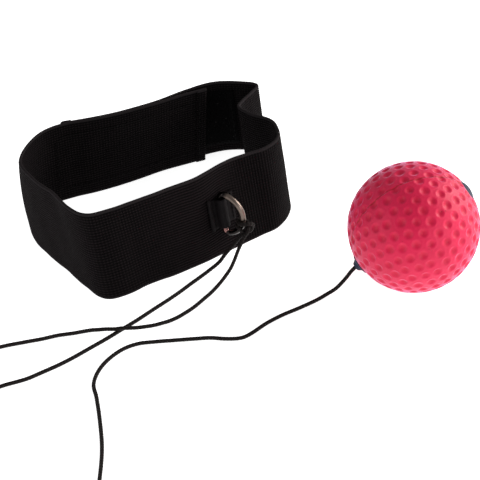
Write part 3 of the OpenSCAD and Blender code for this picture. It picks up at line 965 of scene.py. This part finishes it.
def patch_base(s0, s1, side, thick):
    """Backing of a patch on one face of the strap: side 1 is the outside."""
    stations = steps(s0, s1, 0.001)
    heights = np.linspace(PATCH_EDGE, STRAP_W - PATCH_EDGE, 39)
    low, high = LAYER_FACE - 0.00005, LAYER_FACE + thick
    profile = [(v, high - (0.00015 if v in (heights[0], heights[-1]) else 0)) for v in heights]
    profile += [(v, low) for v in heights[::-1]]
    v, out = np.array(profile).T
    rings = on_strap(stations[:, None], side * out[None], v[None])
    maps = np.stack(np.broadcast_arrays(stations[:, None], np.append(v, v[0])[None]), -1)
    return skin(rings, maps)


def bristles(s0, s1, side, low, pitch, loop, seed):
    """Rows of tiny hooks or loops standing on the backing, with room left for the stitches."""
    draw = random.Random(seed)
    parts = []
    margin, shake, stitch_room = 0.0012, 0.15, 0.0007
    rows = int((s1 - s0 - 2 * margin) / pitch)
    columns = int((PATCH_W - 2 * margin) / pitch)
    for i in range(rows + 1):
        for j in range(columns + 1):
            s = s0 + margin + i * pitch + draw.uniform(-shake, shake) * pitch
            v = PATCH_EDGE + margin + j * pitch + draw.uniform(-shake, shake) * pitch
            inset = min(s - s0, s1 - s, v - PATCH_EDGE, STRAP_W - PATCH_EDGE - v)
            if abs(inset - STITCH_INSET) < stitch_room:
                continue
            if loop:
                turn = draw.uniform(0, math.pi)
                wide, tall, stop = pitch * draw.uniform(0.32, 0.5), draw.uniform(0.0003, 0.00055), math.pi
            else:
                turn = draw.uniform(-0.5, 0.5)
                wide, tall, stop = pitch * 0.30, 0.00055, math.pi * 1.45
            line = []
            for a in np.linspace(0, stop, 6):
                reach = -wide * math.cos(a)
                share, lift = (0.9, 0) if a < math.pi else (0.4, tall * 0.25)
                line.append((s + reach * math.cos(turn), low + tall * math.sin(a) * share + lift,
                             v + reach * math.sin(turn)))
            if not loop:
                line = [(line[0][0], low - 0.0001, line[0][2])] + line[:5]
            line = np.array(line)
            path = on_strap(line[:, 0], side * line[:, 1], line[:, 2])
            parts.append(skin(*tube(path, BRISTLE_R, sides=4, round_ends=False)))
    return parts


loop_patch = joined("loop_patch_pile", [patch_base(LOOP_FROM, LOOP_TO, 1, LOOP_BASE)]
                    + bristles(LOOP_FROM, LOOP_TO, 1, LAYER_FACE + LOOP_BASE, 0.00115, True, 3), LOOP_PILE)
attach(loop_patch, "headband")
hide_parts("loop_patch")

hook_patch = joined("hook_patch_hooks", [patch_base(HOOK_FROM, HOOK_TO, -1, HOOK_BASE)]
                    + bristles(HOOK_FROM, HOOK_TO, -1, LAYER_FACE + HOOK_BASE, 0.00135, False, 5), HOOK_TAPE)
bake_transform(hook_patch)
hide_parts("hook_patch")


# ---------------------------------------------------------------- Stitches
THREAD_R = 0.0002
THREAD_RISE, THREAD_SUNK = 0.00022, 0.0001
HEM_STITCH_IN = 0.0015
HEM_STITCH_OUT = HEM_OUT + 0.00052


def stitch(s, v, ds, dv, face, side):
    """One stitch: a thread that dips into the cloth at both ends."""
    u = np.linspace(0, 1, 7)
    rise = THREAD_RISE * np.sin(np.pi * u) ** 0.6 - THREAD_SUNK
    path = on_strap(s + ds * u, side * (face + rise), v + dv * u)
    return skin(*tube(path, THREAD_R, sides=6))


def stitch_frame(s0, s1, face, side):
    """Stitches round a patch."""
    low, high = PATCH_EDGE + STITCH_INSET, STRAP_W - PATCH_EDGE - STITCH_INSET
    first, last = s0 + STITCH_INSET, s1 - STITCH_INSET
    parts = [stitch(s, v, STITCH_L, 0, face, side)
             for v in (low, high) for s in np.arange(first, last - STITCH_L, STITCH_STEP)]
    return parts + [stitch(s, v, 0, STITCH_L, face, side)
                    for s in (first, last) for v in np.arange(low, high - STITCH_L, STITCH_STEP)]


def stitch_column(s, face, side):
    return [stitch(s, v, 0, STITCH_L, face, side) for v in np.arange(0.0025, STRAP_W - 0.0045, STITCH_STEP)]


def sewn(name, node, parts, body):
    obj = joined(name, parts, THREAD)
    if body == "closure_flap":
        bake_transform(obj)
    else:
        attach(obj, body)
    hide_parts(node)


sewn("inner_hem_thread", "inner_hem_stitches",
     stitch_column(HEM_L - HEM_STITCH_IN, HEM_STITCH_OUT, -1)
     + stitch_column(HEM_L - HEM_STITCH_IN, LAYER_FACE, 1), "headband")
sewn("loop_patch_thread", "loop_patch_stitches",
     stitch_frame(LOOP_FROM, LOOP_TO, LAYER_FACE, -1)
     + stitch_frame(LOOP_FROM, LOOP_TO, LAYER_FACE + LOOP_BASE, 1), "headband")
sewn("tail_hem_thread", "tail_hem_stitches",
     stitch_column(STRAP_L + FLAP_REACH - HEM_L + HEM_STITCH_IN, HEM_STITCH_OUT, 1), "closure_flap")
sewn("hook_patch_thread", "hook_patch_stitches",
     stitch_frame(HOOK_FROM, HOOK_TO, LAYER_FACE, 1)
     + stitch_frame(HOOK_FROM, HOOK_TO, LAYER_FACE + HOOK_BASE, -1), "closure_flap")


# ---------------------------------------------------------------- Ring tab
WALL_FRAME = bar_frame(WALL_TURN)


def tab_route():
    """Middle line of the tab's tape in the bar's frame: left end, hump over the bar, right end."""
    lie = BAR_OFF - TAB_T / 2
    hump = TAB_ROOM + TAB_T / 2
    foot = 0.0009
    left = [(x, lie) for x in np.linspace(TAB_LEFT + 0.0006, -hump - foot, 9)]
    rise_l = [(-hump - foot * (1 - u), lie - lie * 0.9 * u**1.6) for u in np.linspace(0, 1, 7)[1:-1]]
    arch = [(hump * math.cos(a), hump * math.sin(a)) for a in np.radians(np.linspace(183, 357, 31))]
    rise_r = [(-x, y) for x, y in rise_l[::-1]]
    right = [(x, lie) for x in np.linspace(hump + foot, TAB_RIGHT - 0.0003, 9)]
    return np.array(left + rise_l + arch + rise_r + right)


def tape_skin(route, thick, low, high):
    """A tape of even thickness along a route in the bar's frame, from low to high across."""
    half = thick / 2
    heights = np.linspace(low + half, high - half, 21)
    upper, lower = round_edges(low, high, half)
    profile = [(z, half) for z in heights] + upper + [(z, -half) for z in heights[::-1]] + lower
    rings, maps = [], []
    for p, n, at in zip(route, across_route(route), lengths(route)):
        rings.append([WALL_FRAME @ Vector((p[0] + n[0] * off, p[1] + n[1] * off, z)) for z, off in profile])
        maps.append([(at, z) for z, _ in profile + profile[:1]])
    return skin(np.array(rings), np.array(maps))


# The tape's folded left end in millimetres: away from the tab's edge, and out from the strap
FOLD = ((0.4, 0.6), (-0.3, 0.65), (-0.85, 0.85), (-1.1, 1.25), (-1.0, 1.65), (-0.6, 1.9), (-0.1, 1.85),
        (0.2, 1.6))
fold_line = hermite([(TAB_LEFT + x * 0.001, BAR_OFF - y * 0.001, 0) for x, y in FOLD], 4)[:, :2]
tab_parts = [tape_skin(tab_route(), TAB_T * 0.94, TAB_LOW, TAB_HIGH),
             tape_skin(fold_line, 0.0006, TAB_LOW - 0.0003, TAB_HIGH + 0.0012)]
tab = joined("ring_tab_tape", tab_parts, TAPE)
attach(tab, "headband")
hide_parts("ring_tab")
weld(tab)


def tab_stitches():
    parts = []
    face = BAR_OFF - TAB_T
    for x in (TAB_LEFT + 0.0018, TAB_RIGHT - 0.0016):
        for z in np.arange(TAB_LOW + 0.0012, TAB_HIGH - 0.0026, 0.0026):
            path = [WALL_FRAME @ Vector((x, face - 0.0002 * math.sin(math.pi * u) ** 0.6, z + 0.002 * u))
                    for u in np.linspace(0, 1, 7)]
            parts.append(skin(*tube(np.array(path), 0.00019, sides=6)))
    return parts


tab_thread = joined("tab_thread", tab_stitches(), THREAD)
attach(tab_thread, "headband")
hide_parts("tab_stitches")


# ---------------------------------------------------------------- Ball
CORE_FRAME = Matrix.Rotation(CORE_TURN, 4, "Z") @ Matrix.Rotation(CORE_TILT, 4, "Y")
BALL_FRAME = Matrix.Translation(BALL_AT) @ CORE_FRAME
DIMPLE_R = 0.00232
DIMPLE_DEPTH = 0.00085
DIMPLE_STEP = 0.0062
RIM_HEIGHT = 0.00009
ROWS = 15
ROW_STEP = math.radians(10.6)
PARTING_TURN = math.radians(-169)
PARTING_W = 0.00034
PARTING_DEPTH = 0.00012
SKIN_IN = 0.00006


def dimple_centres():
    """Unit directions of the dimples, in staggered rows round the core, and a size factor for each."""
    draw = random.Random(11)
    found = []
    for i in range(ROWS):
        polar = math.pi / 2 + (i - (ROWS - 1) / 2) * ROW_STEP
        count = max(6, round(2 * math.pi * BALL_R * math.sin(polar) / DIMPLE_STEP))
        for k in range(count):
            share = (k + 0.5 * (i % 2) + 0.25) / count
            turn = PARTING_TURN + 2 * math.pi * share + draw.uniform(-0.012, 0.012)
            tilt = polar + draw.uniform(-0.01, 0.01)
            found.append((math.sin(tilt) * math.cos(turn), math.sin(tilt) * math.sin(turn), math.cos(tilt),
                          draw.uniform(0.9, 1.06)))
    return found


def ball_surface(polar, turn):
    """Radius of the ball at each direction, and how far each point is into a dimple and the parting line."""
    d = np.stack([np.sin(polar) * np.cos(turn), np.sin(polar) * np.sin(turn), np.cos(polar)], -1)
    near = np.full(d.shape[:-1], 9.0)
    for x, y, z, size in dimple_centres():
        away = np.arccos(np.clip(d @ np.array((x, y, z)), -1, 1)) * BALL_R / (DIMPLE_R * size)
        near = np.minimum(near, away)
    bowl = np.clip(1 - near**2, 0, 1) ** 1.25
    rim = np.exp(-((near - 1.12) / 0.17) ** 2)
    swing = (turn - PARTING_TURN + math.pi / 2) % math.pi - math.pi / 2
    away = np.abs(np.sin(swing)) * np.sin(polar) * BALL_R
    parting = np.exp(-((away / PARTING_W) ** 2))
    groove = parting * PARTING_DEPTH - np.exp(-(((away - 0.0008) / 0.0004) ** 2)) * PARTING_DEPTH / 2
    return BALL_R - DIMPLE_DEPTH * bowl + RIM_HEIGHT * rim - groove - SKIN_IN, bowl, parting


def foam_ball():
    """The ball with its dimples, a seat for each cap and the hole for its core."""
    seat = CAP_R + 0.0003
    first = math.asin(seat / BALL_R)
    polar = np.linspace(first, math.pi - first, 176)
    base = np.linspace(0, 2 * math.pi, 420, endpoint=False)
    by_parting = [PARTING_TURN + half + k * 0.0045 for half in (0, math.pi) for k in range(-7, 8)]
    turn = np.sort(np.unique(np.round(np.concatenate([base, np.array(by_parting) % (2 * math.pi)]), 5)))
    radius, bowl, parting = ball_surface(*np.meshgrid(polar, turn, indexing="ij"))

    def ring(rad, z):
        return np.stack([rad * np.cos(turn), rad * np.sin(turn), np.broadcast_to(z, len(turn))], -1)

    edge_r, edge_z = seat - 0.00015, BALL_R * math.cos(first) - 0.00012
    floor_r, floor_z = seat - 0.0002, CAP_SEAT - 0.0001
    bore, bore_end = CORE_R + 0.0001, CORE_R + 0.0002
    inside = ((edge_r, -edge_z), (floor_r, -floor_z), (bore_end, -floor_z), (bore, -floor_z * 0.5), (bore, 0),
              (bore, floor_z * 0.5), (bore_end, floor_z), (floor_r, floor_z))
    rings = [ring(edge_r, edge_z)]
    rings += [ring(r * np.sin(p), r * np.cos(p)) for r, p in zip(radius, polar)]
    rings = np.array(rings + [ring(*place) for place in inside])
    count, size = rings.shape[:2]
    faces = closed_grid(count, size)
    points = np.array([BALL_FRAME @ Vector(p) for p in rings.reshape(-1, 3)])
    marks = np.zeros((count, size, 2))
    marks[1:1 + len(polar)] = np.stack([bowl, parting], -1)
    return to_object("ball_foam", points, faces, FOAM, marks.reshape(-1, 2)[np.array(faces).ravel()])


ball = foam_ball()
weld(ball)
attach(ball, "ball")
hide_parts("foam_ball")


def turned(name, profile, frame_at, material, sides=64):
    """A turned piece from a closed profile of (radius, height) points."""
    turn = np.linspace(0, 2 * math.pi, sides, endpoint=False)
    points = [frame_at @ Vector((r * math.cos(a), r * math.sin(a), z)) for r, z in profile for a in turn]
    obj = to_object(name, points, closed_grid(len(profile), sides), material)
    weld(obj)
    return obj


def rounded(profile, radius, steps=4):
    """The profile again with its corners rounded."""
    out, n = [], len(profile)
    for i in range(n):
        a, b, c = (np.array(profile[(i + k) % n]) for k in (-1, 0, 1))
        before, after = a - b, c - b
        cut = min(radius, 0.45 * np.linalg.norm(before), 0.45 * np.linalg.norm(after))
        p, q = b + before / np.linalg.norm(before) * cut, b + after / np.linalg.norm(after) * cut
        for u in np.linspace(0, 1, steps):
            out.append(tuple((1 - u) ** 2 * p + 2 * u * (1 - u) * b + u * u * q))
    return out


mouth = CORD_R + 0.0001
cap_face = CAP_SEAT + CAP_T
boss_profile = [(mouth, CAP_SEAT), (CAP_R, CAP_SEAT), (CAP_R - 0.0002, cap_face),
                (BOSS_R[1] + 0.0006, cap_face + 0.0002), (BOSS_R[1] - 0.0002, cap_face + 0.0007),
                (BOSS_R[0], cap_face + BOSS_H), (mouth, cap_face + BOSS_H)]
mirrored = BALL_FRAME @ Matrix.Scale(-1, 4, (0, 0, 1))
cord_cap = turned("cord_cap_boss", rounded(boss_profile, 0.0004), mirrored, NAVY)
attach(cord_cap, "ball")
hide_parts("cord_cap")

dome_r = (CAP_R**2 + DOME_H**2) / (2 * DOME_H)
dome = [(0.00002, CAP_SEAT), (CAP_R - 0.0001, CAP_SEAT), (CAP_R, CAP_SEAT + 0.00025)]
dome += [(dome_r * math.sin(a), CAP_SEAT + DOME_H - dome_r + dome_r * math.cos(a))
         for a in np.linspace(math.asin(CAP_R / dome_r) * 0.97, 0.002, 14)]
end_cap = turned("end_cap_dome", dome, BALL_FRAME, NAVY)
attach(end_cap, "ball")
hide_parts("end_cap")

for node, material in (("core_tube", CLEAR), ("inner_cord", BRAID), ("stop_knot", BRAID)):
    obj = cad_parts[node]
    obj.data.materials.clear()
    obj.data.materials.append(material)


# ---------------------------------------------------------------- Floor and light
def add_floor():
    half = 3.0
    points = [(-half, -half, 0), (half, -half, 0), (half, half, 0), (-half, half, 0)]
    obj = to_object("floor", points, [[0, 1, 2, 3]], FLOOR, smooth=False)


def add_softbox(name, place, target, size, watts, colour=(1, 1, 1)):
    data = bpy.data.lights.new(name, "AREA")
    data.shape, data.size, data.size_y = "RECTANGLE", size[0], size[1]
    data.energy, data.color = watts, colour
    obj = bpy.data.objects.new(name, data)
    obj.location = place
    obj.rotation_euler = (Vector(target) - Vector(place)).to_track_quat("-Z", "Y").to_euler()
    scene.collection.objects.link(obj)


add_floor()
world = bpy.data.worlds.new("studio")
world.use_nodes = True
sky = world.node_tree.nodes["Background"].inputs
sky["Color"].default_value = (1.0, 1.0, 1.0, 1)
sky["Strength"].default_value = 0.38
scene.world = world
add_softbox("side_right", (1.0, 0.22, 0.46), (0, 0, 0.03), (0.6, 0.5), 12.6, (1.0, 0.96, 0.93))
add_softbox("front_right", (0.75, -0.8, 0.32), (0.05, -0.05, 0.02), (0.5, 0.3), 3.4)
add_softbox("side_left", (-0.9, -0.35, 0.45), (0, 0, 0.02), (0.5, 0.5), 2.6)
scene.view_settings.view_transform = "Standard"
